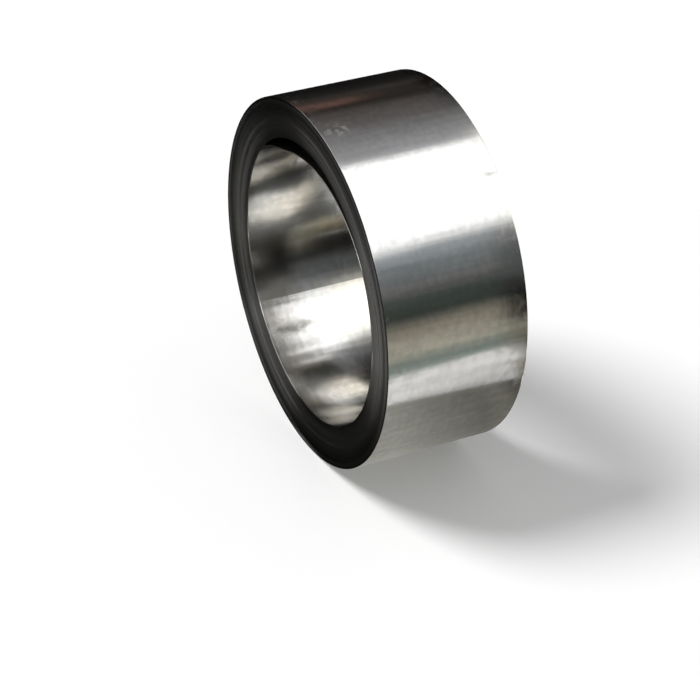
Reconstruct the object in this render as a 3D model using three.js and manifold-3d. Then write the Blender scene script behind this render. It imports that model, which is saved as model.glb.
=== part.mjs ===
// A coil of slit cold-rolled steel strip, standing on its rim with its bore level.
//
// Millimetres, +Z up. The coil's axis lies along Y, and the origin is on the floor
// under the middle of the coil. Angles round the axis start at +X and run up to +Z.
//
// The coil is one turned solid. Every turn is the same strip, so a turn that sits
// further along the axis at one end stands out by as much at the other. The section
// that is revolved shows this as bands of turns, each shifted a little along the axis.
// At the top of the bore the innermost turns have come loose and sag away from the
// rest, which leaves a crescent-shaped gap right through the coil.
import * as THREE from "three";
import { mergeVertices } from "three/addons/utils/BufferGeometryUtils.js";
import Module from "manifold-3d";

// The strip.
const STRIP_WIDTH = 152;
const STRIP_THICKNESS = 0.5;

// The winding.
const BORE_DIAMETER = 300;
const TURNS = 88;

// The bands of turns that show on the ends.
const BANDS = 11;
const BAND_UNEVENNESS = 0.45; // 0 gives bands of equal width
const DISHING = 4; // how far the turns at the bore lie behind those at the rim
const BAND_WANDER = 0.6; // how far a band strays from an even dish, either way
const WANDER_ANGLE = 2.4; // radians that the wander goes through from band to band

// The loose turns.
const LOOSE_TURNS = 2;
const LOOSE_SHIFT = 0.6; // how far they lie nearer the near end than the band behind them
const SAG = 12; // the widest part of the gap
const SAG_START = THREE.MathUtils.degToRad(20);
const SAG_LOWEST = THREE.MathUtils.degToRad(107);
const SAG_END = THREE.MathUtils.degToRad(138);
const NARROWEST_GAP = 0.4; // the gap's two tips stop where it is this narrow

// The facets that stand for the round.
const ROUND_FACETS = 120;
const SAG_STEPS = 30;

const boreRadius = BORE_DIAMETER / 2;
const outerRadius = boreRadius + TURNS * STRIP_THICKNESS;
const looseThickness = LOOSE_TURNS * STRIP_THICKNESS;
const halfFacet = Math.PI / ROUND_FACETS;

const wasm = await Module();
wasm.setup();

/** Radii between the bands, bore first and rim last, each a whole number of turns out. */
function bandRadii() {
  const shares = Array.from({ length: BANDS }, (_, i) => 1 + BAND_UNEVENNESS * Math.sin(WANDER_ANGLE * i));
  const total = shares.reduce((sum, share) => sum + share, 0);
  const radii = [boreRadius];
  let reached = 0;
  for (const share of shares) {
    reached += share;
    radii.push(boreRadius + STRIP_THICKNESS * Math.round((TURNS * reached) / total));
  }
  return radii;
}

/** How far each band is shifted towards the far end, bore first, centred on zero. */
function bandShifts() {
  const shifts = Array.from({ length: BANDS }, (_, i) => {
    const dish = DISHING * (1 - i / (BANDS - 1));
    return dish + BAND_WANDER * Math.cos(WANDER_ANGLE * i);
  });
  const middle = (Math.max(...shifts) + Math.min(...shifts)) / 2;
  return shifts.map((shift) => shift - middle);
}

/** One end of the section, from the bore to the rim: a flat for each band, a riser between. */
function endProfile(side) {
  const radii = bandRadii();
  return bandShifts().flatMap((shift, i) => {
    const y = (side * STRIP_WIDTH) / 2 + shift;
    return [new THREE.Vector2(radii[i], y), new THREE.Vector2(radii[i + 1], y)];
  });
}

/** The tight turns as one turned solid: near end outwards, over the rim, far end inwards. */
function tightTurns() {
  const nearEnd = endProfile(-1);
  const farEnd = endProfile(1).reverse();
  return new THREE.LatheGeometry([...nearEnd, ...farEnd, nearEnd[0]], ROUND_FACETS, halfFacet);
}

/** How far the loose turns hang from their place at this angle. */
function sagAt(angle) {
  const from = angle < SAG_LOWEST ? SAG_START : SAG_END;
  return SAG * Math.sin((Math.PI / 2) * THREE.MathUtils.clamp((angle - from) / (SAG_LOWEST - from), 0, 1)) ** 2;
}

/** A closed shape over the sagging stretch, between two radii that depend on the angle. */
function sagShape(innerAt, outerAt, narrowest) {
  const angles = Array.from({ length: SAG_STEPS + 1 }, (_, i) =>
    THREE.MathUtils.lerp(SAG_START, SAG_END, i / SAG_STEPS)
  ).filter((angle) => outerAt(angle) - innerAt(angle) >= narrowest);
  const at = (angle, radius) => new THREE.Vector2(radius * Math.cos(angle), radius * Math.sin(angle));
  return new THREE.Shape([
    ...angles.map((angle) => at(angle, innerAt(angle))),
    ...angles.reverse().map((angle) => at(angle, outerAt(angle))),
  ]);
}

/** The shape run along the coil's axis between two places on it. */
function alongAxis(shape, from, to) {
  const geometry = new THREE.ExtrudeGeometry(shape, { depth: to - from, bevelEnabled: false });
  return geometry.rotateX(Math.PI / 2).translate(0, to, 0);
}

/** The loose turns where they sag into the bore, rooted in the turns behind them. */
function looseTurns() {
  const root = boreRadius + looseThickness / 2;
  const shift = bandShifts()[0] - LOOSE_SHIFT;
  const shape = sagShape((angle) => boreRadius - sagAt(angle), () => root, 0);
  return alongAxis(shape, shift - STRIP_WIDTH / 2, shift + STRIP_WIDTH / 2);
}

/** The gap that the loose turns leave behind them, longer than the coil. */
function crescentGap() {
  const behind = boreRadius + looseThickness;
  const shape = sagShape((angle) => behind - sagAt(angle), () => behind, NARROWEST_GAP);
  return alongAxis(shape, -STRIP_WIDTH, STRIP_WIDTH);
}

/** A closed geometry as a solid that can be joined and cut. */
function solid(geometry) {
  const plain = geometry.index ? geometry.toNonIndexed() : geometry.clone();
  plain.deleteAttribute("normal");
  plain.deleteAttribute("uv");
  const merged = mergeVertices(plain, 1e-4);
  return new wasm.Manifold(
    new wasm.Mesh({
      numProp: 3,
      vertProperties: new Float32Array(merged.attributes.position.array),
      triVerts: new Uint32Array(merged.index.array),
    })
  );
}

/** A solid as a geometry again. */
function geometryOf(body) {
  const mesh = body.getMesh();
  const geometry = new THREE.BufferGeometry();
  geometry.setAttribute("position", new THREE.BufferAttribute(mesh.vertProperties, 3));
  geometry.setIndex(new THREE.BufferAttribute(mesh.triVerts, 1));
  return geometry;
}

/** The wound strip, standing with one facet of its rim flat on the floor. */
function woundStrip() {
  const steel = new THREE.MeshStandardMaterial({ color: 0xa9aaa8, metalness: 1, roughness: 0.25 });
  const body = solid(tightTurns()).add(solid(looseTurns())).subtract(solid(crescentGap()));
  const strip = new THREE.Mesh(geometryOf(body), steel);
  strip.name = "wound_strip";
  strip.position.z = outerRadius * Math.cos(halfFacet);
  return strip;
}

const coil = new THREE.Group();
coil.add(woundStrip());

export default coil;
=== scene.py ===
"""A coil of slit cold-rolled steel strip, standing on its rim on a pale studio floor.

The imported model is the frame: metres, +Z up, the coil's axis along Y, the origin on the
floor under the middle of the coil. Angles round the axis start at +X and run up to +Z.
The strip is wound here turn by turn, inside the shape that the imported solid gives.
"""

import logging
import math
from collections.abc import Callable
from dataclasses import dataclass, field
from enum import Enum
from typing import Any

import bpy
import numpy as np
from mathutils import Matrix, Vector


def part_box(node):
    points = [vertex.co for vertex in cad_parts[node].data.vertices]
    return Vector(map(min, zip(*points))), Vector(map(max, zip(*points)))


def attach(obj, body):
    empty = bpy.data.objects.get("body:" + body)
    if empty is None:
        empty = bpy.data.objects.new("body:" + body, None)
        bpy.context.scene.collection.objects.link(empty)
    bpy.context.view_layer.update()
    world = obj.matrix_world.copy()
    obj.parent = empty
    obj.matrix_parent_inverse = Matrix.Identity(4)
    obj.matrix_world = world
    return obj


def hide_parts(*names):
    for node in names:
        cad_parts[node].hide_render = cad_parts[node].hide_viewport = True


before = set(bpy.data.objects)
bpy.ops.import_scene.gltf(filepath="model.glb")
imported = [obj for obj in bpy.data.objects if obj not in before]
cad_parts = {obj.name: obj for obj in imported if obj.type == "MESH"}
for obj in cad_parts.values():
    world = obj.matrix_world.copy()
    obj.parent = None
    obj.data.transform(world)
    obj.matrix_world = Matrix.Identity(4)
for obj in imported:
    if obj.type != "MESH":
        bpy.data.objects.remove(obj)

log = logging.getLogger("steel_coil")

MM = 0.001

Tree = bpy.types.NodeTree
Source = bpy.types.Node | bpy.types.NodeSocket  # a node stands for its first output
Stops = tuple[tuple[float, str], ...]  # places in order, each with its hex colour


# ---- colours and nodes


def linear(hex_colour: str) -> tuple[float, float, float, float]:
    """Turns an sRGB hex colour into the linear values that a shader takes.

    Args:
        hex_colour: Six hex digits after a "#".

    Returns:
        Linear red, green and blue, and an alpha of 1.
    """
    parts = (int(hex_colour[i : i + 2], 16) / 255 for i in (1, 3, 5))
    red, green, blue = (p / 12.92 if p <= 0.04045 else ((p + 0.055) / 1.055) ** 2.4 for p in parts)
    return red, green, blue, 1.0


def add_node(
    tree: Tree,
    kind: str,
    settings: dict[str, Any] | None = None,
    values: dict[Any, Any] | None = None,
) -> bpy.types.Node:
    """Adds one shader node.

    Args:
        tree: The node tree that it goes into.
        kind: The node's type, such as "ShaderNodeMath".
        settings: The node's own properties.
        values: What its inputs hold, by name or number. A node or socket is linked.

    Returns:
        The new node.
    """
    node = tree.nodes.new(kind)
    for name, value in (settings or {}).items():
        setattr(node, name, value)
    for name, value in (values or {}).items():
        if isinstance(value, bpy.types.Node):
            value = value.outputs[0]
        if isinstance(value, bpy.types.NodeSocket):
            tree.links.new(value, node.inputs[name])
        else:
            node.inputs[name].default_value = value
    return node


def fresh_material(name: str) -> tuple[bpy.types.Material, Tree]:
    """Makes an empty node material.

    Args:
        name: What the material is called.

    Returns:
        The material and its node tree.
    """
    material = bpy.data.materials.new(name)
    material.use_nodes = True
    material.node_tree.nodes.clear()
    return material, material.node_tree


def set_ramp(node: bpy.types.Node, stops: Stops) -> None:
    """Gives a colour ramp its stops, spread so that the first is at 0 and the last at 1.

    Args:
        node: The colour ramp node.
        stops: The place and the colour of each stop.
    """
    elements = node.color_ramp.elements
    while len(elements) > 1:
        elements.remove(elements[-1])
    first, last = stops[0][0], stops[-1][0]
    elements[0].position, elements[0].color = 0.0, linear(stops[0][1])
    for place, colour in stops[1:]:
        elements.new((place - first) / (last - first)).color = linear(colour)


def from_axis(tree: Tree, place: Source) -> Source:
    """Works out how far a point is from the coil's axis.

    Args:
        tree: The node tree.
        place: The point's place.

    Returns:
        Metres from the axis.
    """
    values = {0: place, 1: (1, 0, 1)}
    flat = add_node(tree, "ShaderNodeVectorMath", {"operation": "MULTIPLY"}, values)
    length = add_node(tree, "ShaderNodeVectorMath", {"operation": "LENGTH"}, {0: flat})
    return length.outputs["Value"]


def lined_steel(tree: Tree, values: dict[str, Any]) -> None:
    """Ends a material as steel whose fine lines run round the coil.

    Such lines draw a highlight out across them: along the axis on the rolled face, and
    out from the axis on the ends.

    Args:
        tree: The node tree.
        values: What the shader's other inputs hold.
    """
    tangent = add_node(tree, "ShaderNodeTangent", {"direction_type": "RADIAL", "axis": "Y"})
    lines = {"Anisotropic": 0.6, "Anisotropic Rotation": 0.25, "Tangent": tangent}
    shader = add_node(tree, "ShaderNodeBsdfPrincipled", {}, {"Metallic": 1.0} | lines | values)
    add_node(tree, "ShaderNodeOutputMaterial", {}, {"Surface": shader})


# ---- the strip and its winding


class End(Enum):
    """An end of the coil, as the sign of its place along the axis."""

    NEAR = -1
    FAR = 1


@dataclass(frozen=True)
class Strip:
    """The slit strip, in metres."""

    width: float = 152 * MM
    thickness: float = 0.5 * MM


@dataclass(frozen=True)
class Dish:
    """How the turns lie along the axis, in metres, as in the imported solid.

    The turns at the bore lie behind those at the rim, and they go in bands.
    """

    bore_radius: float = 150 * MM
    turns: int = 88
    bands: int = 11
    unevenness: float = 0.45
    depth: float = 4 * MM
    wander: float = 0.6 * MM
    wander_angle: float = 2.4

    def last_turns(self) -> list[int]:
        """Returns the turn count at which each band ends, bore first."""
        shares = [1 + self.unevenness * math.sin(self.wander_angle * i) for i in range(self.bands)]
        return [round(self.turns * sum(shares[: i + 1]) / sum(shares)) for i in range(self.bands)]

    def band_shifts(self) -> list[float]:
        """Works out how far each band is shifted along the axis.

        Returns:
            Metres towards the far end, bore first, centred on zero.
        """
        raw = [
            self.depth * (1 - i / (self.bands - 1)) + self.wander * math.cos(self.wander_angle * i)
            for i in range(self.bands)
        ]
        middle = (max(raw) + min(raw)) / 2
        return [shift - middle for shift in raw]

    def shift_of(self, turn: int) -> float:
        """Gives one turn's shift.

        Args:
            turn: The turn's number from the bore, from 0.

        Returns:
            Metres towards the far end.
        """
        band = next(i for i, last in enumerate(self.last_turns()) if turn < last)
        return self.band_shifts()[band]


@dataclass(frozen=True)
class Sag:
    """How the loose turns hang away from the top of the bore."""

    depth: float = 12 * MM
    start: float = math.radians(20)
    lowest: float = math.radians(107)
    end: float = math.radians(138)

    def at(self, angle: np.ndarray) -> np.ndarray:
        """Gives the sag at some angles.

        Args:
            angle: Angles round the axis, in radians.

        Returns:
            How far the strip hangs in from its place, in metres.
        """
        turned = np.mod(angle, 2 * math.pi)
        from_angle = np.where(turned < self.lowest, self.start, self.end)
        share = np.clip((turned - from_angle) / (self.lowest - from_angle), 0, 1)
        return self.depth * np.sin(math.pi / 2 * share) ** 2


def wandering(
    turns: int, seed: int, step: float, proud: float, kept: float = 0.75, proud_share: float = 0.07
) -> np.ndarray:
    """Makes the small unevenness of a winding, turn by turn.

    Args:
        turns: How many turns there are.
        seed: The seed of the random numbers.
        step: How far a turn usually lies off the last one, in metres.
        proud: How far the few turns that stand proud do so, in metres.
        kept: How much of one turn's shift the next turn keeps.
        proud_share: The share of turns that stand proud.

    Returns:
        One shift along the axis for each turn, in metres.
    """
    rng = np.random.default_rng(seed)
    walk = np.zeros(turns)
    for k in range(1, turns):
        walk[k] = kept * walk[k - 1] + rng.normal(0, step)
    stands_out = rng.random(turns) < proud_share
    return walk + np.where(stands_out, rng.normal(0, proud, turns), 0)


@dataclass
class WoundTurns:
    """Some turns of the strip as one closed shell.

    The border between one turn and the next is a single spiral line on each end, the
    joint. Two crest lines run between its windings, so that each turn's slit edge stands
    a little proud of the joints beside it. The free faces, towards the bore and out of
    the rim, end in the edge that the slitting knives rounded over.
    """

    name: str
    first_turn: int
    turns: int
    tail_angle: float
    shift: np.ndarray
    inset: Callable[[np.ndarray], np.ndarray]
    strip: Strip = field(default_factory=Strip)
    dish: Dish = field(default_factory=Dish)
    sections: int = 144
    joint_depth: float = 0.10 * MM
    crest: float = 0.24  # a crest's distance from the joint, as a share of the thickness
    free_crest: float = 0.46  # the same beside a free face
    crest_ramp: int = 12  # sections that a crest takes to pass from the one to the other
    move_over: float = 0.2  # the last share of a turn, where it moves to the next one's place
    sharp_angle: float = math.radians(40)
    # Back from the end and in from the free face, the joint first.
    rounding: tuple[tuple[float, float], ...] = (
        (0.00 * MM, 0.20 * MM),
        (0.20 * MM, 0.10 * MM),
        (0.45 * MM, 0.03 * MM),
        (0.90 * MM, 0.00 * MM),
    )

    def _turn_shift(self, station: np.ndarray) -> np.ndarray:
        """Gives the shift along the axis at some stations.

        Args:
            station: Station numbers from the inner tail, counted on the turn they lie in.

        Returns:
            Metres towards the far end. A turn moves over to the next one's place at its end.
        """
        turn = np.clip(station // self.sections, 0, self.turns - 1)
        share = (station - turn * self.sections) / self.sections
        following = np.clip(turn + 1, 0, self.turns - 1)
        ease = np.clip((share - (1 - self.move_over)) / self.move_over, 0, 1)
        ease = ease * ease * (3 - 2 * ease)
        return self.shift[turn] * (1 - ease) + self.shift[following] * ease

    def _place(self, station: np.ndarray, out: float | np.ndarray, y: np.ndarray) -> np.ndarray:
        """Places points on the spiral.

        Args:
            station: Station numbers, which give the angle and the radius.
            out: How far out from the spiral line, in metres.
            y: Where along the axis, in metres.

        Returns:
            One row of x, y and z for each station.
        """
        angle = self.tail_angle + 2 * math.pi * station / self.sections
        # A turn gains a thickness on its way round, so it starts half of one further in.
        start = self.dish.bore_radius + (self.first_turn - 0.5) * self.strip.thickness
        radius = start + self.strip.thickness * station / self.sections + out - self.inset(angle)
        return np.stack([radius * np.cos(angle), y, radius * np.sin(angle)], axis=1)

    def _joint_y(self, station: np.ndarray, end: End) -> np.ndarray:
        """Gives where the joint lies along the axis, behind the turns on both its sides.

        Args:
            station: Station numbers on the joint.
            end: Which end of the coil.

        Returns:
            Metres along the axis.
        """
        n, last = self.sections, self.turns * self.sections
        inside = np.where(station >= n, self._turn_shift(np.maximum(station - n, 0)), np.nan)
        outside = np.where(station <= last, self._turn_shift(np.minimum(station, last - 1)), np.nan)
        behind = np.fmin(inside, outside) if end is End.FAR else np.fmax(inside, outside)
        return end.value * (self.strip.width / 2 - self.joint_depth) + behind

    def _end_lines(self, end: End) -> dict[str, np.ndarray]:
        """Places every line of points of one end.

        Args:
            end: Which end of the coil.

        Returns:
            The joint, the two crests, and the lines of the rounding at the bore and the
            rim, each as rows of x, y and z.
        """
        n, t = self.sections, self.strip.thickness
        joint = np.arange((self.turns + 1) * n + 1)
        crest = np.arange(self.turns * n + 1)
        # On the first and last turns a crest moves over to leave room for the rounding.
        at_bore = np.clip((n - crest) / self.crest_ramp + 1, 0, 1)
        at_rim = np.clip((crest - (self.turns - 1) * n) / self.crest_ramp + 1, 0, 1)
        inner = self.crest + (self.free_crest - self.crest) * at_bore
        outer = 1 - self.crest - (self.free_crest - self.crest) * at_rim
        shift = self._turn_shift(np.minimum(crest, len(crest) - 2))
        face = end.value * self.strip.width / 2 + shift
        in_from_face = np.zeros(len(joint))
        in_from_face[: n + 1] = self.rounding[0][1]
        in_from_face[-n - 1 :] = -self.rounding[0][1]
        lines = {
            "joint": self._place(joint, in_from_face, self._joint_y(joint, end)),
            "crest_in": self._place(crest, inner * t, face),
            "crest_out": self._place(crest, outer * t, face),
        }
        for place, stations, inwards in (("bore", joint[: n + 1], 1), ("rim", joint[-n - 1 :], -1)):
            for step, (back, drop) in enumerate(self.rounding[1:]):
                y = self._joint_y(stations, end) - end.value * back
                lines[f"{place}_{step}"] = self._place(stations, inwards * drop, y)
        return lines

    def mesh(self) -> bpy.types.Mesh:
        """Builds the closed shell.

        Returns:
            The mesh, with the rolled face as material 0 and the slit edges as material 1.
        """
        n = self.sections
        points: list[np.ndarray] = []
        numbers: dict[tuple[End, str], np.ndarray] = {}
        count = 0
        for end in End:
            for key, line in self._end_lines(end).items():
                numbers[end, key] = np.arange(count, count + len(line))
                points.append(line)
                count += len(line)

        bands: list[tuple[np.ndarray, int]] = []

        def join(a: np.ndarray, b: np.ndarray, finish: int, turned: bool) -> None:
            """Joins two lines of points with quads.

            Args:
                a: The numbers of the first line's points.
                b: Those of the second line, as many.
                finish: The material's number.
                turned: Whether the quads face the other way.
            """
            quads = np.stack([a[:-1], b[:-1], b[1:], a[1:]], axis=1)
            bands.append((quads[:, ::-1] if turned else quads, finish))

        for end in End:
            joint, inner, outer = (numbers[end, key] for key in ("joint", "crest_in", "crest_out"))
            turned = end is End.FAR
            join(joint[: len(inner)], inner, 1, turned)
            join(inner, outer, 1, turned)
            join(outer, joint[n:], 1, turned)
        for place, part in (("bore", slice(0, n + 1)), ("rim", slice(-n - 1, None))):
            across = self._across(numbers, place, part)
            for a, b in zip(across, across[1:]):
                join(a, b, 0, place == "bore")
        polygons = np.concatenate([quads for quads, _ in bands]).tolist()
        finishes = [finish for quads, finish in bands for _ in quads]
        for station in (0, self.turns * n):
            polygons.append(self._cut_end(numbers, station))
            finishes.append(1)

        mesh = bpy.data.meshes.new(self.name)
        mesh.from_pydata(np.concatenate(points).tolist(), [], polygons)
        mesh.polygons.foreach_set("material_index", np.array(finishes, dtype=np.int32))
        mesh.shade_smooth()
        mesh.set_sharp_from_angle(angle=self.sharp_angle)
        mesh.validate()
        mesh.update()
        return mesh

    def _across(
        self, numbers: dict[tuple[End, str], np.ndarray], place: str, part: slice
    ) -> list[np.ndarray]:
        """Lists the lines across a free face, from the near end's joint to the far end's.

        Args:
            numbers: The point numbers of every line.
            place: "bore" or "rim".
            part: Where on the joint the free face lies.

        Returns:
            The point numbers of each line.
        """
        rounds = [f"{place}_{step}" for step in range(len(self.rounding) - 1)]
        near, far = (
            [numbers[end, "joint"][part], *(numbers[end, key] for key in rounds)] for end in End
        )
        return near + far[::-1]

    def _cut_end(self, numbers: dict[tuple[End, str], np.ndarray], station: int) -> list[int]:
        """Lists the corners of the strip's cut end, at the inner or the outer tail.

        Args:
            numbers: The point numbers of every line.
            station: The tail's station number.

        Returns:
            The point numbers in order round the cut.
        """
        n = self.sections
        place, part = ("bore", slice(0, n + 1)) if station == 0 else ("rim", slice(-n - 1, None))
        across = self._across(numbers, place, part)
        near = [numbers[End.NEAR, key][station] for key in ("crest_in", "crest_out")]
        far = [numbers[End.FAR, key][station] for key in ("crest_out", "crest_in")]
        # The free face begins on one side of the cut and ends, a turn later, on the other.
        ring = [line[0] for line in across[::-1]] + near + [line[-1] for line in across] + far
        corners = [int(i) for i in ring]
        return corners[::-1] if station == 0 else corners


# ---- finishes


@dataclass(frozen=True)
class Smudge:
    """A soft-edged spot on the rolled face, longest round the coil or along it."""

    angle: float  # round the axis, in degrees
    along: float  # along the axis, in metres
    radius: float  # of the face that it is on, in metres
    size_round: float
    size_along: float
    weight: float  # how much of what makes the spot there is in its middle, from 0 to 1
    depth: float = 20 * MM  # how far in and out it reaches, which is past the face
    # It fades between these distances from its middle, counted in its own sizes.
    fades_from: float = 0.4
    fades_to: float = 1.9


@dataclass(frozen=True)
class RolledFace:
    """Bright cold-rolled strip, as it left the polished rolls.

    The rolls leave fine lines along the strip, so a light is mirrored crisply round the
    coil and is drawn out along the axis. The strip isn't quite flat: it is faintly wavy
    across, and chatter of the rolls marks it in cross lines. Handling has scuffed it
    beside the rim, a few spots of oil have dried on it, and something has rubbed dull
    specks into it. Each pattern's size is how large it is round the coil and along it.
    """

    bare: str = "#d3d1ce"
    film: str = "#c2c1be"
    oil: str = "#7c7c7b"
    roughness: float = 0.14
    # What each adds to the roughness. A line also takes as much away beside it.
    line_roughness: float = 0.03
    scuff_roughness: float = 0.16
    smudge_roughness: float = 0.22
    rub_roughness: float = 0.36
    # Rolling lines are about 0.05 mm apart. They are drawn 2 mm apart, which just shows.
    line_size: tuple[float, float] = (170 * MM, 2 * MM)
    # Scuffs and spots of oil film are millimetres wide, and so is what frays a smudge.
    patch_size: tuple[float, float] = (9 * MM, 7 * MM)
    fray_size: tuple[float, float] = (7 * MM, 9 * MM)
    # Specks are under a millimetre. They are drawn as clusters, the finest that show.
    speck_size: tuple[float, float] = (7 * MM, 6 * MM)
    # The oil film lies in cross lines, where the strip stopped in the rolls.
    streak_size: tuple[float, float] = (8 * MM, 110 * MM)
    # The size and the height of the waves across, the cross lines of chatter, and dents.
    relief: tuple[tuple[tuple[float, float], float], ...] = (
        ((40 * MM, 9 * MM), 0.050 * MM),
        ((6 * MM, 140 * MM), 0.025 * MM),
        ((16 * MM, 20 * MM), 0.035 * MM),
    )
    half_width: float = 76 * MM
    middle_radius: float = 172 * MM  # between the bore and the rim
    scuff_reach: float = 45 * MM  # how far in from the edges scuffs are thicker
    scuff_least: float = 0.25  # how thick they are further in, of what they are beside them
    smudges: tuple[Smudge, ...] = (
        Smudge(51, 66 * MM, 194 * MM, 3.5 * MM, 10 * MM, 0.65),
        Smudge(228.5, -54 * MM, 150 * MM, 7.0 * MM, 34 * MM, 1.0),
    )
    rubs: tuple[Smudge, ...] = (Smudge(77.5, -59 * MM, 194 * MM, 12 * MM, 17 * MM, 1.0),)

    def _noise(self, tree: Tree, place: Source, size: tuple[float, float], detail: float) -> Source:
        """Makes a noise that is drawn out round the coil or along it.

        Args:
            tree: The node tree.
            place: The point's place.
            size: How large the pattern is round the coil and along it, in metres.
            detail: How many finer octaves it has.

        Returns:
            The noise, from 0 to 1.
        """
        across, along = 1 / size[0], 1 / size[1]
        values = {0: place, 1: (across, along, across)}
        scaled = add_node(tree, "ShaderNodeVectorMath", {"operation": "MULTIPLY"}, values)
        values = {"Vector": scaled, "Scale": 1.0, "Detail": detail}
        return add_node(tree, "ShaderNodeTexNoise", {}, values)

    def _spotted(self, tree: Tree, place: Source, spots: tuple[Smudge, ...]) -> Source:
        """Works out where some spots are.

        Args:
            tree: The node tree.
            place: The point's place.
            spots: The spots.

        Returns:
            A spot's weight in its middle, and 0 away from them all.
        """
        frayed = self._noise(tree, place, self.fray_size, 1.0)
        spotted = None
        for spot in spots:
            angle = math.radians(spot.angle)
            centre = (spot.radius * math.cos(angle), spot.along, spot.radius * math.sin(angle))
            values = {
                "Vector": place,
                "Location": centre,
                "Rotation": (0.0, -angle, 0.0),
                "Scale": (spot.depth, spot.size_along, spot.size_round),
            }
            local = add_node(tree, "ShaderNodeMapping", {"vector_type": "TEXTURE"}, values)
            values = {0: local}
            off = add_node(tree, "ShaderNodeVectorMath", {"operation": "LENGTH"}, values)
            values = {0: off.outputs["Value"], 1: frayed}
            off = add_node(tree, "ShaderNodeMath", {"operation": "ADD"}, values)
            values = {
                "Value": off,
                "From Min": spot.fades_from,
                "From Max": spot.fades_to,
                "To Min": spot.weight,
                "To Max": 0.0,
            }
            smooth = {"interpolation_type": "SMOOTHSTEP"}
            here = add_node(tree, "ShaderNodeMapRange", smooth, values)
            if spotted is not None:
                values = {0: spotted, 1: here}
                here = add_node(tree, "ShaderNodeMath", {"operation": "MAXIMUM"}, values)
            spotted = here
        return spotted

    def _scuffed(self, tree: Tree, place: Source) -> Source:
        """Works out where handling has scuffed the outermost turn, most of all beside its edges.

        Args:
            tree: The node tree.
            place: The point's place.

        Returns:
            1 where it is scuffed most and 0 where it isn't.
        """
        apart = add_node(tree, "ShaderNodeSeparateXYZ", {}, {0: place})
        away = add_node(tree, "ShaderNodeMath", {"operation": "ABSOLUTE"}, {0: apart.outputs[1]})
        values = {
            "Value": away,
            "From Min": self.half_width - self.scuff_reach,
            "From Max": self.half_width,
            "To Min": self.scuff_least,
            "To Max": 1.0,
        }
        smooth = {"interpolation_type": "SMOOTHSTEP"}
        beside = add_node(tree, "ShaderNodeMapRange", smooth, values)
        # Nothing has rubbed against the bore.
        values = {0: from_axis(tree, place), 1: self.middle_radius}
        outside = add_node(tree, "ShaderNodeMath", {"operation": "GREATER_THAN"}, values)
        patches = self._noise(tree, place, self.patch_size, 4.0)
        values = {"Value": patches, "From Min": 0.45, "From Max": 0.75}
        scuffed = add_node(tree, "ShaderNodeMapRange", {}, values)
        for share in (beside, outside):
            values = {0: scuffed, 1: share}
            scuffed = add_node(tree, "ShaderNodeMath", {"operation": "MULTIPLY"}, values)
        return scuffed

    def _rubbed(self, tree: Tree, place: Source) -> Source:
        """Works out where the specks are that something has rubbed into the face.

        Args:
            tree: The node tree.
            place: The point's place.

        Returns:
            1 in the middle of a speck and 0 where there is none.
        """
        specks = self._noise(tree, place, self.speck_size, 0.0)
        values = {"Value": specks, "From Min": 0.38, "From Max": 0.62}
        specks = add_node(tree, "ShaderNodeMapRange", {}, values)
        values = {0: self._spotted(tree, place, self.rubs), 1: specks}
        return add_node(tree, "ShaderNodeMath", {"operation": "MULTIPLY"}, values)

    def _relief(self, tree: Tree, place: Source) -> Source:
        """Makes the faint waviness of the strip.

        Args:
            tree: The node tree.
            place: The point's place.

        Returns:
            The bumped normal.
        """
        normal = None
        for size, height in self.relief:
            noise = self._noise(tree, place, size, 1.0)
            values = {"Height": noise, "Distance": height, "Strength": 1.0}
            if normal is not None:
                values["Normal"] = normal
            normal = add_node(tree, "ShaderNodeBump", {}, values)
        return normal

    def _colour(self, tree: Tree, place: Source, smudged: Source) -> Source:
        """Works out the colour: bare steel, duller under oil.

        Args:
            tree: The node tree.
            place: The point's place.
            smudged: How much dried oil is there.

        Returns:
            The colour.
        """
        # The film lies in small patches, the same that are scuffed, and in cross lines.
        patches = self._noise(tree, place, self.patch_size, 4.0)
        streaks = self._noise(tree, place, self.streak_size, 2.0)
        values = {0: patches, 1: streaks}
        film = add_node(tree, "ShaderNodeMath", {"operation": "ADD"}, values)
        values = {"Value": film, "From Min": 0.8, "From Max": 1.2}
        filmed = add_node(tree, "ShaderNodeMapRange", {}, values)
        colour: Any = linear(self.bare)
        for factor, over in ((filmed, self.film), (smudged, self.oil)):
            values = {"Factor": factor, 6: colour, 7: linear(over)}
            colour = add_node(tree, "ShaderNodeMix", {"data_type": "RGBA"}, values).outputs[2]
        return colour

    def material(self) -> bpy.types.Material:
        """Makes the finish.

        Returns:
            The node material.
        """
        material, tree = fresh_material("bright_cold_rolled_steel")
        place = add_node(tree, "ShaderNodeTexCoord").outputs["Object"]
        smudged = self._spotted(tree, place, self.smudges)
        values = {
            "Value": self._noise(tree, place, self.line_size, 3.0),
            "To Min": self.roughness - self.line_roughness,
            "To Max": self.roughness + self.line_roughness,
        }
        rough = add_node(tree, "ShaderNodeMapRange", {}, values)
        for worn, more in (
            (self._scuffed(tree, place), self.scuff_roughness),
            (smudged, self.smudge_roughness),
            (self._rubbed(tree, place), self.rub_roughness),
        ):
            values = {0: worn, 1: more, 2: rough}
            rough = add_node(tree, "ShaderNodeMath", {"operation": "MULTIPLY_ADD"}, values)
        colour, normal = self._colour(tree, place, smudged), self._relief(tree, place)
        lined_steel(tree, {"Base Color": colour, "Roughness": rough, "Normal": normal})
        return material


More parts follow.
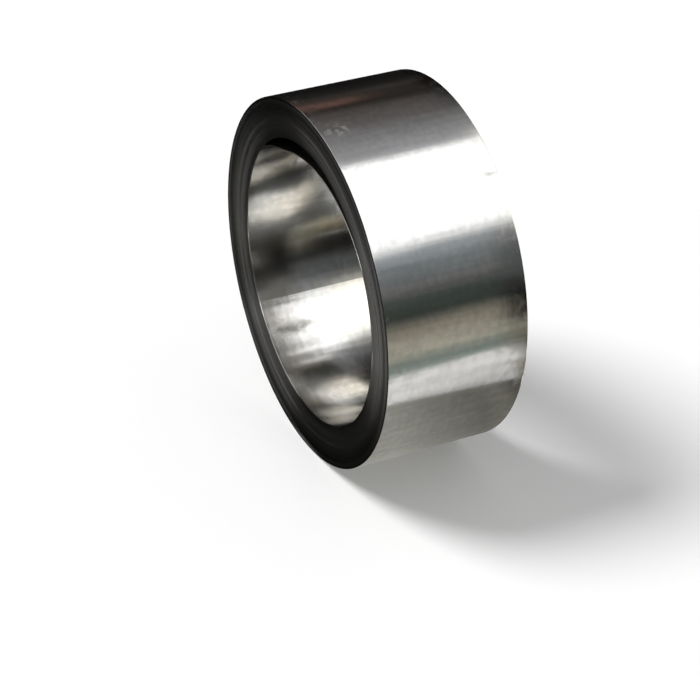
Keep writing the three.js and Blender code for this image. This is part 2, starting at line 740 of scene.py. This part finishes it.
@dataclass(frozen=True)
class SlitEdge:
    """The strip's sheared edges, oily and never polished.

    Edge beside edge they make a dark ring, with finer rings in it where turns differ. Its tones
    from the bore to the rim are partly painted light and shade: lighter part way out, darker
    further out, and a painted shade line at the rim.
    """

    bore_radius: float = 150 * MM
    rim_radius: float = 194 * MM
    # The ring's tone from the bore to the rim, partly painted light and shade; the darkest stops,
    # at the rim, are painted shade.
    ring_tones_and_painted_shade: Stops = (
        (0.00, "#454443"), (0.10, "#4f4e4c"), (0.24, "#5c5b59"), (0.38, "#646361"),
        (0.52, "#605f5d"), (0.64, "#4d4c4a"), (0.74, "#3b3a39"), (0.80, "#3c3b3a"),
        (0.85, "#4a4947"), (0.89, "#575654"), (0.93, "#4d4c4a"), (0.955, "#222121"),
        (1.00, "#1a1919"),
    )
    # Turns are 0.5 mm apart. Their tones are drawn about 1.5 mm apart, which just shows.
    rings_in_metre: float = 700.0
    ring_contrast: float = 0.35
    roughness: float = 0.36

    def material(self) -> bpy.types.Material:
        """Makes the finish.

        Returns:
            The node material.
        """
        material, tree = fresh_material("oiled_slit_steel_edges")
        place = add_node(tree, "ShaderNodeTexCoord").outputs["Object"]
        radius = from_axis(tree, place)
        values = {"Value": radius, "From Min": self.bore_radius, "From Max": self.rim_radius}
        share = add_node(tree, "ShaderNodeMapRange", {}, values)
        tone = add_node(tree, "ShaderNodeValToRGB", {}, {"Fac": share})
        set_ramp(tone, self.ring_tones_and_painted_shade)
        values = {"W": radius, "Scale": self.rings_in_metre, "Detail": 4, "Roughness": 0.7}
        rings = add_node(tree, "ShaderNodeTexNoise", {"noise_dimensions": "1D"}, values)
        values = {
            "Value": rings,
            "From Min": 0.3,
            "From Max": 0.7,
            "To Min": 1 - self.ring_contrast,
            "To Max": 1 + self.ring_contrast,
        }
        level = add_node(tree, "ShaderNodeMapRange", {}, values)
        values = {0: tone, "Scale": level}
        colour = add_node(tree, "ShaderNodeVectorMath", {"operation": "SCALE"}, values)
        lined_steel(tree, {"Base Color": colour, "Roughness": self.roughness})
        return material


# ---- the coil


@dataclass
class Coil:
    """The whole coil: the tight turns, and the two loose ones inside them."""

    dish: Dish = field(default_factory=Dish)
    sag: Sag = field(default_factory=Sag)
    loose_turns: int = 2
    loose_shift: float = 0.6 * MM
    tail: float = math.radians(215)  # where both ends of the strip lie
    passing: int = 8  # a band passes into the next over twice as many turns
    rolled: RolledFace = field(default_factory=RolledFace)
    slit: SlitEdge = field(default_factory=SlitEdge)

    def axis_height(self) -> float:
        """Returns the height of the coil's axis over the floor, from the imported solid."""
        low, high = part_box("wound_strip")
        return (low.z + high.z) / 2

    def tight(self) -> WoundTurns:
        """Lays out the turns from the loose ones to the rim.

        Returns:
            The turns, each in its band's place and a little off it.
        """
        count = self.dish.turns - self.loose_turns
        bands = np.array([self.dish.shift_of(k + self.loose_turns) for k in range(count)])
        weights = np.convolve(np.ones(self.passing), np.ones(self.passing)) / self.passing**2
        shift = np.convolve(np.pad(bands, len(weights) // 2, mode="edge"), weights, mode="valid")
        shift += wandering(count, seed=7, step=0.05 * MM, proud=0.18 * MM)
        return WoundTurns("tight_turns", self.loose_turns, count, self.tail, shift, np.zeros_like)

    def loose(self) -> WoundTurns:
        """Returns the innermost turns, which sag at the top of the bore."""
        shift = np.full(self.loose_turns, self.dish.shift_of(0) - self.loose_shift)
        return WoundTurns("loose_turns", 0, self.loose_turns, self.tail, shift, self.sag.at)

    def build(self) -> list[bpy.types.Object]:
        """Builds and dresses the coil.

        Returns:
            Its pieces.
        """
        finishes = [self.rolled.material(), self.slit.material()]
        pieces = []
        for turns in (self.tight(), self.loose()):
            mesh = turns.mesh()
            for finish in finishes:
                mesh.materials.append(finish)
            piece = bpy.data.objects.new(turns.name, mesh)
            piece.location.z = self.axis_height()
            bpy.context.scene.collection.objects.link(piece)
            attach(piece, "root")
            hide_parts("wound_strip")
            log.info("%s: %d faces", turns.name, len(mesh.polygons))
            pieces.append(piece)
        return pieces


# ---- the studio


@dataclass(frozen=True, kw_only=True)
class Reflector:
    """A card, board or soft light that is seen only in reflections: a painted reflection, whose
    glow stands in for the lit and shaded things that the steel mirrors, shadowed floor among them.

    Its stops give its colour from its first side to its last, and the colour runs evenly
    from one to the next. The strength is how many times as bright as paper it is. Of one
    that is one-sided, nothing is seen from its back, as of gauze that is lit from the front.
    """

    name: str
    stops: Stops
    strength: float = 1.2
    one_sided: bool = False

    def rows(self, axis_height: float) -> np.ndarray:
        """Places its points.

        Args:
            axis_height: The height of the coil's axis.

        Returns:
            Rows of points from its first side to its last, evenly apart.
        """
        raise NotImplementedError

    def build(self, axis_height: float) -> bpy.types.Object:
        """Builds it as a glowing sheet.

        Args:
            axis_height: The height of the coil's axis.

        Returns:
            The sheet, which knows at each point how far on from its first side that is.
        """
        rows = self.rows(axis_height)
        count, columns = rows.shape[:2]
        corner = np.arange(count * columns).reshape(count, columns)
        quads = np.stack(
            [corner[:-1, :-1], corner[:-1, 1:], corner[1:, 1:], corner[1:, :-1]], axis=-1
        )
        mesh = bpy.data.meshes.new(self.name)
        mesh.from_pydata(rows.reshape(-1, 3).tolist(), [], quads.reshape(-1, 4).tolist())
        shares = mesh.attributes.new("share", "FLOAT", "POINT")
        shares.data.foreach_set("value", np.repeat(np.linspace(0, 1, count), columns))

        # Each sheet's glow is a painted reflection, with painted shade in its dark stops.
        material, tree = fresh_material(f"{self.name}_painted_reflection")
        share = add_node(tree, "ShaderNodeAttribute", {"attribute_name": "share"})
        ramp = add_node(tree, "ShaderNodeValToRGB", {}, {"Fac": share.outputs["Fac"]})
        set_ramp(ramp, self.stops)
        values = {"Color": ramp, "Strength": self.strength}
        surface = add_node(tree, "ShaderNodeEmission", {}, values)
        if self.one_sided:
            side = add_node(tree, "ShaderNodeNewGeometry")
            clear = add_node(tree, "ShaderNodeBsdfTransparent")
            layers = {"Fac": side.outputs["Backfacing"], 1: surface, 2: clear}
            surface = add_node(tree, "ShaderNodeMixShader", {}, layers)
        add_node(tree, "ShaderNodeOutputMaterial", {}, {"Surface": surface})
        mesh.materials.append(material)

        sheet = bpy.data.objects.new(self.name, mesh)
        sheet.visible_camera = False
        sheet.visible_diffuse = False
        sheet.visible_shadow = False
        return sheet


@dataclass(frozen=True, kw_only=True)
class Card(Reflector):
    """A sheet that is bent round the coil's axis. Its stops are angles round it, in degrees."""

    radius: float = 2.0
    near: float = -3.0
    far: float = 4.0
    # It can turn as it goes along the axis, by so many degrees a metre between two places.
    lean: float = 0.0
    lean_from: float = 0.3
    lean_to: float = 1.2
    facet: float = 1.5  # degrees
    fewest_facets: int = 6

    def rows(self, axis_height: float) -> np.ndarray:
        """Places its points on an arc.

        Args:
            axis_height: The height of the coil's axis.

        Returns:
            Rows of points, with one for each place along the axis.
        """
        first, last = self.stops[0][0], self.stops[-1][0]
        facets = max(self.fewest_facets, round((last - first) / self.facet))
        angle = np.radians(np.linspace(first, last, facets + 1))[:, None]
        along = np.array([self.near, self.far])
        if self.lean:
            along = np.array([self.near, self.lean_from, self.lean_to, self.far])
        turned = np.clip(along, self.lean_from, self.lean_to) - (self.lean_from + self.lean_to) / 2
        angle = angle + np.radians(self.lean) * turned[None, :]
        x, z = self.radius * np.cos(angle), axis_height + self.radius * np.sin(angle)
        return np.stack([x, np.broadcast_to(along, x.shape), z], axis=-1)


@dataclass(frozen=True, kw_only=True)
class Board(Reflector):
    """A flat sheet over the floor that glows on top, a painted reflection of the floor there. Its
    stops are places along the axis.
    """

    one_sided: bool = True
    first_side: tuple[float, float]  # from where to where across, at the first stop
    last_side: tuple[float, float] | None = None  # at the last, where that differs
    height: float = 4 * MM
    row_count: int = 13

    def rows(self, axis_height: float) -> np.ndarray:
        """Places its points.

        Args:
            axis_height: The height of the coil's axis, which makes no difference to it.

        Returns:
            Rows of two points, one on each side.
        """
        along = np.linspace(self.stops[0][0], self.stops[-1][0], self.row_count)
        share = np.linspace(0, 1, self.row_count)[:, None]
        last_side = np.array(self.last_side or self.first_side)
        x = (1 - share) * np.array(self.first_side) + share * last_side
        y = np.repeat(along[:, None], 2, axis=1)
        return np.stack([x, y, np.full_like(x, self.height)], axis=-1)


@dataclass(frozen=True, kw_only=True)
class CrossBoard(Board):
    """A board with its stops at places across, and its sides at places along the axis."""

    def rows(self, axis_height: float) -> np.ndarray:
        """Returns a board's rows with the two ways over the floor changed round."""
        return super().rows(axis_height)[:, ::-1, [1, 0, 2]]


# What the bright steel mirrors: cards all round the coil, then boards over the floor. These
# aren't plain studio cards but painted reflections: their tones are fitted to the bands that
# the metal has to show, and the dark ones are painted shade, standing in for shadowed floor
# and dark surroundings.
REFLECTORS: tuple[Reflector, ...] = (
    Card(name="black_surround", radius=2.3, stops=(
        (-5, "#2a2825"), (152, "#2a2825"), (159, "#343230"), (163, "#33312e"), (170, "#242220"),
        (185, "#121211"),
    )),
    Card(name="black_board_on_left", radius=0.4, near=-0.05, far=0.21, stops=(
        (140, "#242220"), (147, "#1c1b1a"), (154, "#141313"), (208.5, "#101010"),
    )),
    Card(name="dark_board_on_left", radius=0.4, near=-0.225, far=-0.05, stops=(
        (140, "#1f1f1e"), (208.5, "#1d1d1c"),
    )),
    Card(name="grey_board_on_left", radius=0.4, far=-0.225, stops=(
        (140, "#4c4c4b"), (190, "#444443"), (203, "#333332"), (208.5, "#3a3a39"),
    )),
    Card(name="main_softbox", strength=2.4, lean=5.0, stops=(
        (36.4, "#6e7174"), (42.4, "#d8dadb"), (49, "#f3f5f7"), (80, "#f8fafc"), (89, "#eef0f2"),
        (94, "#bbbcbd"),
    )),
    Card(name="warm_softbox_behind", radius=0.5, near=0.265, far=0.284, strength=2.3, stops=(
        (36, "#575756"), (38, "#656564"), (41.5, "#8c8c8a"), (44.5, "#c6c6c1"), (47.5, "#fffaea"),
        (80, "#fffaea"), (86, "#faf8ed"), (90, "#d9d7d3"), (95, "#8e8e8c"),
    )),
    Card(name="bright_softbox_further_behind", radius=0.498, near=0.284, strength=3.3, stops=(
        (26, "#313130"), (31, "#464645"), (35, "#76746f"), (39, "#9f9c96"), (44, "#ccc9c1"),
        (72, "#e6e2d9"), (79, "#ded9d1"), (84, "#cccac3"), (89, "#a2a19b"), (93, "#71716d"),
        (97, "#52524f"),
    )),
    Card(name="front_softbox", radius=1.8, far=-0.1, stops=((50, "#e6e6e6"), (150, "#e6e6e6"))),
    Card(name="spill_above_softbox", radius=2.02, stops=(
        (90, "#b4b5ba"), (94, "#acadb2"), (108, "#8c8d90"), (122, "#676464"), (137, "#4f4a48"),
        (141, "#302d2b"),
    )),
    Card(name="brown_strip", far=0.8, stops=(
        (143, "#1a1413"), (147, "#6f544c"), (153, "#544440"), (156, "#2a2825"),
    )),
    Card(name="blue_grey_card", radius=2.02, stops=(
        (11, "#454d4a"), (15, "#6b6b6a"), (28, "#7b8286"), (36, "#a2a9af"), (40, "#a9b0b5"),
    )),
    Card(name="dark_green_card", stops=((-3, "#383e3a"), (5, "#3c433f"), (11, "#454d4a"))),
    Card(name="low_board_on_right", radius=0.487, far=0.226, stops=(
        (-22.7, "#828e8b"), (-17, "#7f8983"), (-12, "#b0ad9f"), (-8, "#a5a396"),
    )),
    Card(name="middle_board_on_right", radius=0.487, far=0.215, stops=(
        (-8, "#a5a396"), (-2, "#958f82"), (5, "#4b4f4a"),
    )),
    Card(name="dark_board_behind", radius=0.5, near=0.215, stops=(
        (-22.7, "#918774"), (-20, "#8b806c"), (-16, "#635e4f"), (-12, "#47443a"), (-8, "#282823"),
        (-3, "#0c0c0c"), (4, "#131313"), (9, "#333333"), (16, "#4d5050"), (24, "#535757"),
        (29, "#626566"), (33, "#777777"), (36, "#8d8d8b"),
    )),
    Card(name="dark_card_above_behind", radius=0.5, near=0.25, stops=(
        (95, "#9a9a97"), (104, "#797b7a"), (111, "#525555"), (116, "#3a3c3c"), (122, "#232523"),
        (130, "#171717"), (138, "#0b0b0b"), (145, "#050505"), (162, "#050505"), (172, "#171717"),
        (182, "#30302d"), (190, "#444442"), (200, "#696965"), (208.5, "#7c7974"),
    )),
    Board(name="grey_board_beside_foot", first_side=(0.0, 0.36), last_side=(0.0, 0.255), stops=(
        (-0.30, "#9d9d97"), (-0.02, "#9d9d97"), (0.03, "#85857f"), (0.09, "#6b6b65"),
        (0.12, "#75746c"), (0.15, "#3c3b39"), (0.17, "#3c3b39"),
    )),
    CrossBoard(
        name="tan_board_behind_foot", first_side=(0.0785, 0.088), last_side=(0.082, 0.108),
        height=30 * MM, strength=1.6, stops=(
            (-0.035, "#78746a"), (-0.02, "#a59f92"), (0.0, "#c6bfb0"), (0.06, "#c6bfb0"),
            (0.08, "#a59f92"), (0.1, "#78746a"), (0.112, "#636057"),
        ),
    ),
    CrossBoard(
        name="tan_board_behind_bore", first_side=(0.0785, 0.0805), last_side=(0.083, 0.114),
        height=50 * MM, stops=(
            (-0.06, "#3f3d37"), (-0.043, "#524f48"), (-0.03, "#7c776d"), (-0.017, "#b6b0a2"),
            (-0.003, "#c1bbac"), (0.012, "#cdc6b6"), (0.029, "#c4bdae"), (0.049, "#bcb6a7"),
            (0.071, "#999487"), (0.098, "#66635a"), (0.131, "#494942"), (0.14, "#474742"),
        ),
    ),
    CrossBoard(
        name="tan_board_further_behind_bore", first_side=(0.0805, 0.083), last_side=(0.114, 0.158),
        height=50 * MM, stops=(
            (-0.06, "#3f3d37"), (-0.043, "#524f48"), (-0.03, "#747067"), (-0.017, "#898577"),
            (-0.003, "#898779"), (0.012, "#8f8d7e"), (0.029, "#828277"), (0.049, "#6f6f69"),
            (0.071, "#52524d"), (0.098, "#3f423c"), (0.131, "#3f3f3a"), (0.14, "#42423c"),
        ),
    ),
    CrossBoard(
        name="dark_board_right_of_bore", first_side=(0.096, 0.153), last_side=(0.148, 0.185),
        height=50 * MM, stops=(
            (0.14, "#44443f"), (0.174, "#474742"), (0.21, "#55534b"), (0.234, "#69655b"),
            (0.27, "#7c7769"), (0.3, "#898271"),
        ),
    ),
    CrossBoard(
        name="dark_board_close_behind_bore", first_side=(0.0785, 0.108), last_side=(0.0785, 0.124),
        height=120 * MM, stops=(
            (-0.035, "#52524b"), (-0.01, "#3f3f3a"), (0.004, "#44443f"), (0.025, "#6f6c63"),
            (0.04, "#898571"), (0.055, "#918b77"), (0.075, "#8b8571"), (0.104, "#746f5d"),
            (0.11, "#716c5b"),
        ),
    ),
    CrossBoard(
        name="dark_board_close_right_of_bore", first_side=(0.0785, 0.124), last_side=(0.15, 0.178),
        height=120 * MM,
        stops=((0.11, "#716c5b"), (0.15, "#666353"), (0.208, "#5d5b4d"), (0.33, "#4b493f")),
    ),
    CrossBoard(
        name="black_board_behind_bore", first_side=(0.086, 0.118), last_side=(0.088, 0.15),
        height=80 * MM, stops=((-0.02, "#504c43"), (0.02, "#43433e"), (0.17, "#43433e")),
    ),
    CrossBoard(
        name="grey_board_high_behind_bore", first_side=(0.0785, 0.135), height=200 * MM,
        stops=((-0.01, "#adadad"), (0.016, "#adadad")),
    ),
    Board(
        name="white_board_behind_foot", first_side=(-0.045, 0.175), last_side=(-0.078, 0.285),
        strength=5.5,
        stops=((0.157, "#f7f9fe"), (0.172, "#f7f9fe"), (0.2, "#d1d3d8"), (0.25, "#d1d3d8")),
    ),
    Board(name="white_board_further_behind", first_side=(-0.078, 0.285), strength=3.4, stops=(
        (0.25, "#f5f7fd"), (0.5, "#f5f7fd"),
    )),
    CrossBoard(
        name="white_board_far_right", first_side=(0.208, 0.27), last_side=(0.226, 0.29),
        height=120 * MM, strength=2.4, stops=((0.345, "#b8b7b4"), (0.4, "#939392")),
    ),
    CrossBoard(
        name="dark_board_far_right", first_side=(0.17, 0.4), last_side=(0.268, 0.42), height=6 * MM,
        stops=(
            (0.26, "#b4b4b1"), (0.31, "#adada8"), (0.36, "#8d8b80"), (0.39, "#858271"),
            (0.44, "#6c6c63"), (0.6, "#525249"),
        ),
    ),
    Board(name="grey_board_far_left", first_side=(-0.5, -0.06), stops=(
        (0.10, "#7c7c79"), (0.5, "#7c7c79"),
    )),
    Board(
        name="dark_board_before_left", first_side=(-0.42, -0.30), last_side=(-0.42, -0.28),
        height=6 * MM, stops=((-0.262, "#343433"), (-0.197, "#303030")),
    ),
    Board(name="dark_board_before_foot", first_side=(-0.34, 0.16), height=6 * MM, stops=(
        (-0.197, "#2e2e2d"), (-0.16, "#2a2a29"), (-0.075, "#2c2c2b"),
    )),
)


@dataclass
class Studio:
    """The floor, the reflectors round the coil, the lamp, the world and the camera."""

    axis_height: float
    floor_reach: float = 40.0
    floor_glow: float = 0.1  # what takes the floor from nearly white to white, for the camera
    even_light: float = 0.42  # the world's strength on the object
    camera_place: tuple[float, float, float] = (1.7710, -0.8829, 1.3096)
    azimuth: float = math.radians(64.15)  # of the camera, as the elevation is
    elevation: float = math.radians(31.54)
    focal_length: float = 113.14  # in mm
    reflectors: tuple[Reflector, ...] = REFLECTORS

    def _shown_in_metal(self, tree: Tree) -> Source:
        """Tells the rays that the camera sees, also in metal and through glass, from the rest.

        Args:
            tree: The node tree of the material or the world.

        Returns:
            1 for such a ray and 0 for others.
        """
        path = add_node(tree, "ShaderNodeLightPath")
        seen = path.outputs["Is Camera Ray"]
        for ray in ("Is Glossy Ray", "Is Transmission Ray"):
            values = {0: seen, 1: path.outputs[ray]}
            seen = add_node(tree, "ShaderNodeMath", {"operation": "MAXIMUM"}, values)
        return seen

    def floor(self) -> None:
        """Lays a wide pale floor, which shows white to the camera and keeps the shadow."""
        mesh = bpy.data.meshes.new("floor")
        reach = self.floor_reach
        corners = [(-reach, -reach, 0), (reach, -reach, 0), (reach, reach, 0), (-reach, reach, 0)]
        mesh.from_pydata(corners, [], [(0, 1, 2, 3)])
        floor = bpy.data.objects.new("floor", mesh)
        bpy.context.scene.collection.objects.link(floor)
        material, tree = fresh_material("white_painted_floor")
        values = {0: self._shown_in_metal(tree), 1: self.floor_glow}
        glow = add_node(tree, "ShaderNodeMath", {"operation": "MULTIPLY"}, values)
        values = {
            "Base Color": linear("#f2f2f2"),
            "Roughness": 0.9,
            "Specular IOR Level": 0.0,
            "Emission Color": linear("#ffffff"),
            "Emission Strength": glow,
        }
        shader = add_node(tree, "ShaderNodeBsdfPrincipled", {}, values)
        add_node(tree, "ShaderNodeOutputMaterial", {}, {"Surface": shader})
        mesh.materials.append(material)

    def world(self) -> None:
        """Lights everything evenly and shows white behind the object."""
        world = bpy.data.worlds.new("studio")
        bpy.context.scene.world = world
        world.use_nodes = True
        tree = world.node_tree
        tree.nodes.clear()
        values = {"Value": self._shown_in_metal(tree), "To Min": self.even_light, "To Max": 1.0}
        level = add_node(tree, "ShaderNodeMapRange", {}, values)
        values = {"Color": linear("#ffffff"), "Strength": level}
        sky = add_node(tree, "ShaderNodeBackground", {}, values)
        add_node(tree, "ShaderNodeOutputWorld", {}, {"Surface": sky})

    def lamp(
        self, name: str, direction: tuple[float, float, float], softness: float, strength: float
    ) -> None:
        """Hangs one large soft lamp, far enough off to light the floor evenly.

        Args:
            name: What it is called.
            direction: The way from the coil to it.
            softness: How wide it looks from the coil, in degrees.
            strength: The light that falls square on a surface.
        """
        light = bpy.data.lights.new(name, "SUN")
        light.angle, light.energy = math.radians(softness), strength
        lamp = bpy.data.objects.new(name, light)
        lamp.rotation_euler = Vector(direction).to_track_quat("Z", "Y").to_euler()
        lamp.visible_glossy = False
        bpy.context.scene.collection.objects.link(lamp)

    def camera(self) -> None:
        """Sets the camera a little over two metres off, well above the coil."""
        lens = bpy.data.cameras.new("camera")
        lens.lens, lens.sensor_width = self.focal_length, 36.0
        lens.clip_start, lens.clip_end = 0.05, 200.0
        camera = bpy.data.objects.new("camera", lens)
        level = math.cos(self.elevation)
        x, y = math.sin(self.azimuth) * level, -math.cos(self.azimuth) * level
        back = Vector((x, y, math.sin(self.elevation)))
        turn = back.to_track_quat("Z", "Y").to_matrix().to_4x4()
        camera.matrix_world = Matrix.Translation(self.camera_place) @ turn
        bpy.context.scene.collection.objects.link(camera)
        bpy.context.scene.camera = camera

    def build(self) -> None:
        """Sets up the whole studio."""
        self.floor()
        for reflector in self.reflectors:
            sheet = reflector.build(self.axis_height)
            bpy.context.scene.collection.objects.link(sheet)
        self.world()
        self.lamp("key_lamp", direction=(-0.45, -0.6, 1.0), softness=25.0, strength=2.45)
        self.camera()
        view = bpy.context.scene.view_settings
        view.view_transform = "Standard"
        log.info("studio: %d reflectors", len(self.reflectors))


def main() -> None:
    """Builds the coil and the studio."""
    logging.basicConfig(level=logging.INFO, format="%(name)s: %(message)s")
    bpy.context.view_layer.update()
    coil = Coil()
    coil.build()
    Studio(coil.axis_height()).build()


if __name__ == "__main__":
    main()
